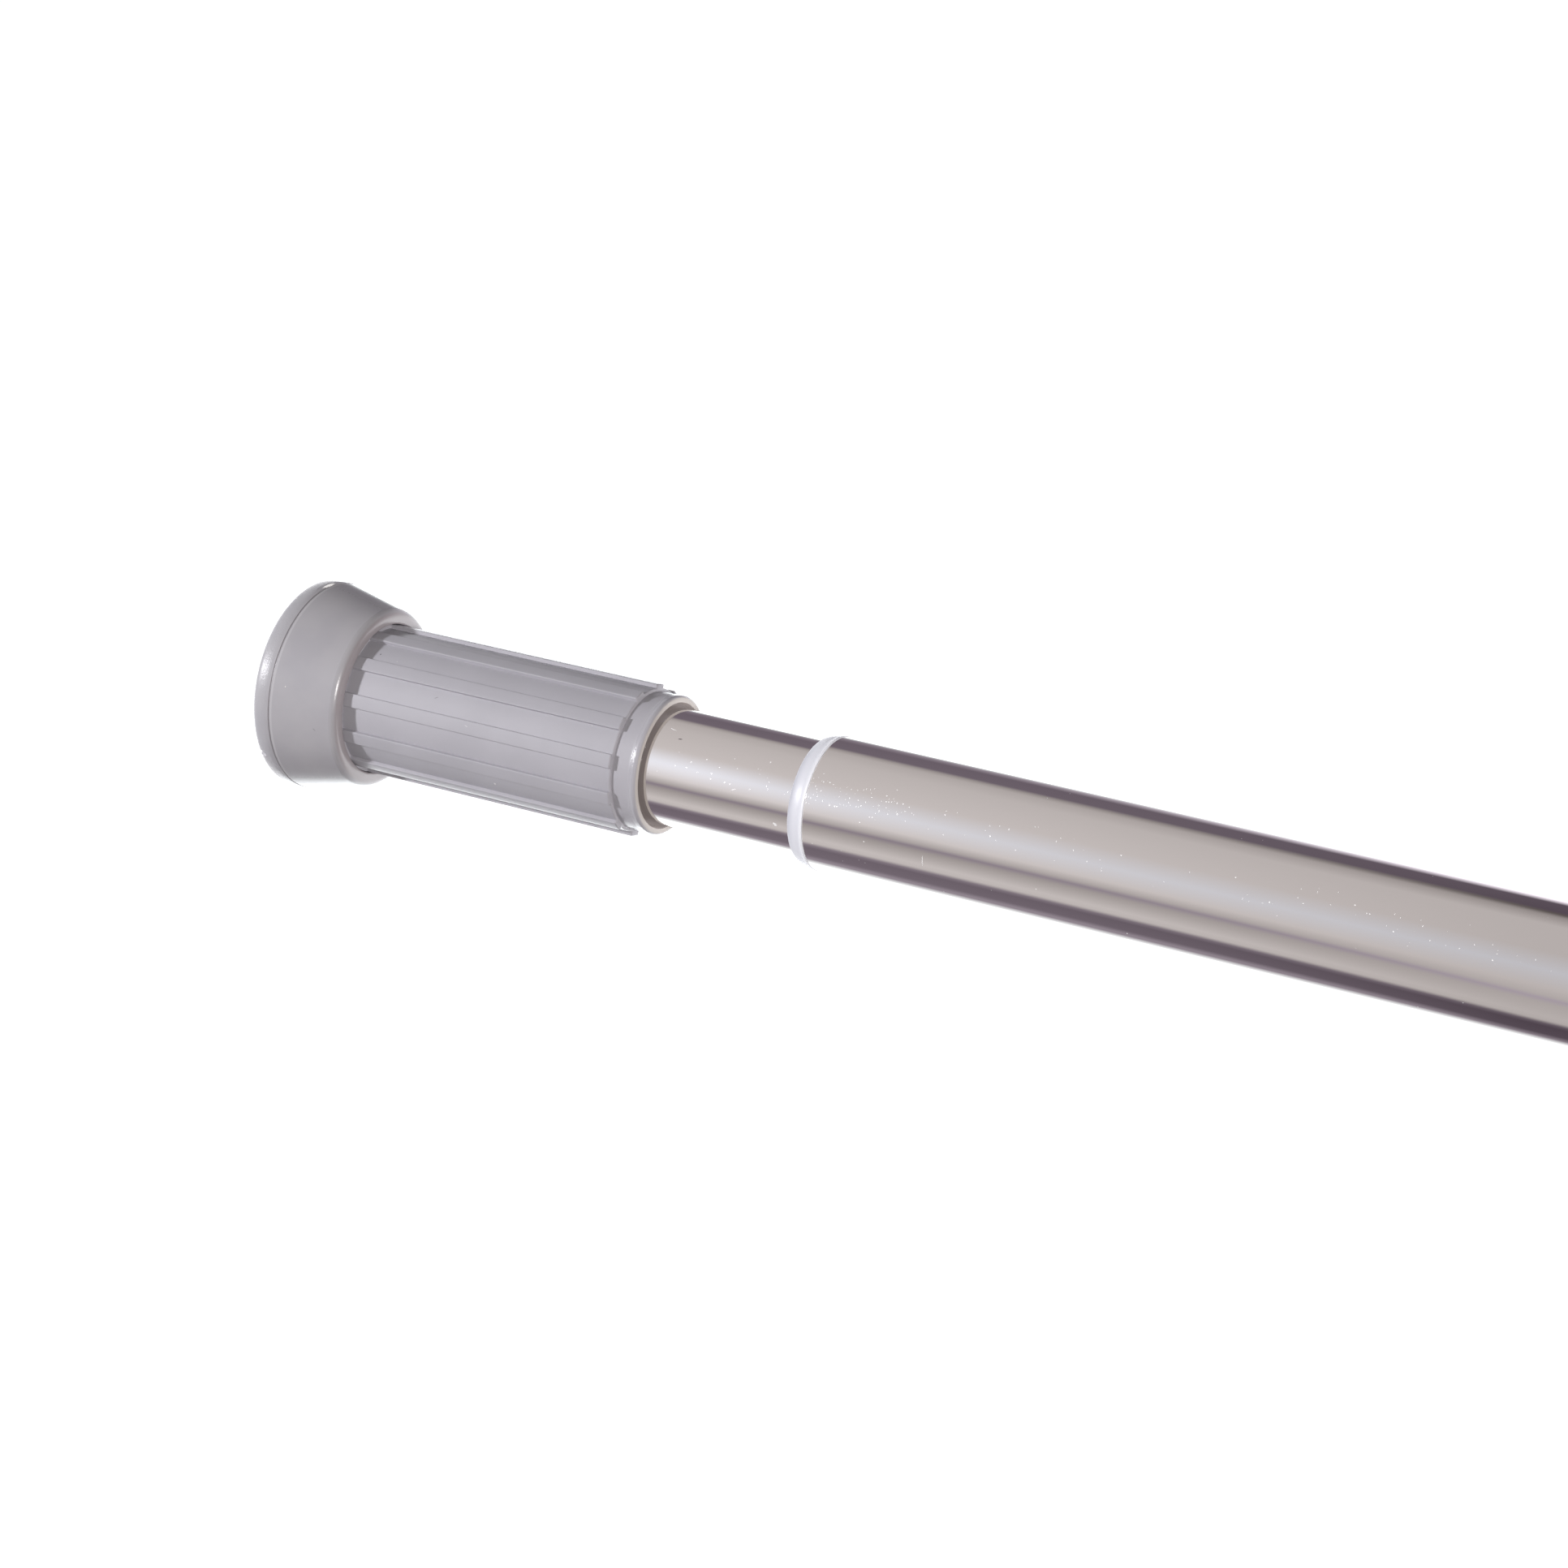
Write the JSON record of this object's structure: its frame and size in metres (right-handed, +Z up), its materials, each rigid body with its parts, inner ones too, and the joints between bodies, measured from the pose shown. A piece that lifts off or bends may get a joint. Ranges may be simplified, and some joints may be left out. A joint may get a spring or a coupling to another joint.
{
  "type": "shower curtain rod",
  "caption": "Telescopic shower curtain rod with a ribbed twist grip, round rubber wall feet, polished tubes and an eccentric twist lock inside.",
  "frame": {"origin": "centre of the handle foot's wall face, with the rod at the length that the picture shows", "axes": "+X along the rod from the handle foot to the fixed end, +Z up"},
  "size_m": [0.7225, 0.0408, 0.0408],
  "materials": {
    "foot_rubber": "matt moulded grey",
    "grip_plastic": "satin moulded grey",
    "polished_tube": "mirror polished, faintly scratched",
    "bush_plastic": "milky white",
    "swivel_plastic": "natural white",
    "plug_plastic": "black moulded",
    "screw_steel": "zinc plated",
    "rivet_aluminium": "plain"
  },
  "bodies": {
    "fixed_part": {"outer_tube": "polished_tube", "collar_bush": "bush_plastic", "far_plug": "plug_plastic", "far_foot": "foot_rubber"},
    "brake": {"cam_ring": "swivel_plastic"},
    "sliding_part": {"inner_tube": "polished_tube", "nut_plug": "plug_plastic", "hex_nut": "screw_steel", "nut_plug_rivets": "rivet_aluminium", "lock_plug": "plug_plastic", "lock_pin": "screw_steel", "cam_washer": "screw_steel", "cam_screw": "screw_steel"},
    "wall_foot": {"handle_foot": "foot_rubber", "foot_cup": "swivel_plastic", "thrust_washer": "screw_steel"},
    "grip": {"grip_sleeve": "grip_plastic", "drive_spindle": "screw_steel", "spindle_clip": "screw_steel", "spindle_stop": "screw_steel"}
  },
  "joints": [
    {"name": "telescope_slide", "type": "slide", "parent": "fixed_part", "child": "brake", "axis": [-1, 0, 0], "range_m": [-0.0305, 0.4]},
    {"name": "lock_twist", "type": "hinge", "parent": "brake", "child": "sliding_part", "pos_m": [0.6279, 0, 0], "axis": [1, 0, 0], "range_deg": [-20, 20]},
    {"name": "foot_advance", "type": "slide", "parent": "sliding_part", "child": "wall_foot", "axis": [-1, 0, 0], "range_m": [0, 0.024]},
    {"name": "grip_turn", "type": "hinge", "parent": "wall_foot", "child": "grip", "pos_m": [0.04, 0, 0], "axis": [-1, 0, 0], "range_deg": [0, 2160]}
  ],
  "couplings": [
    {"joint": "foot_advance", "follows": "grip_turn", "m_per_rad": 0.00063662}
  ]
}
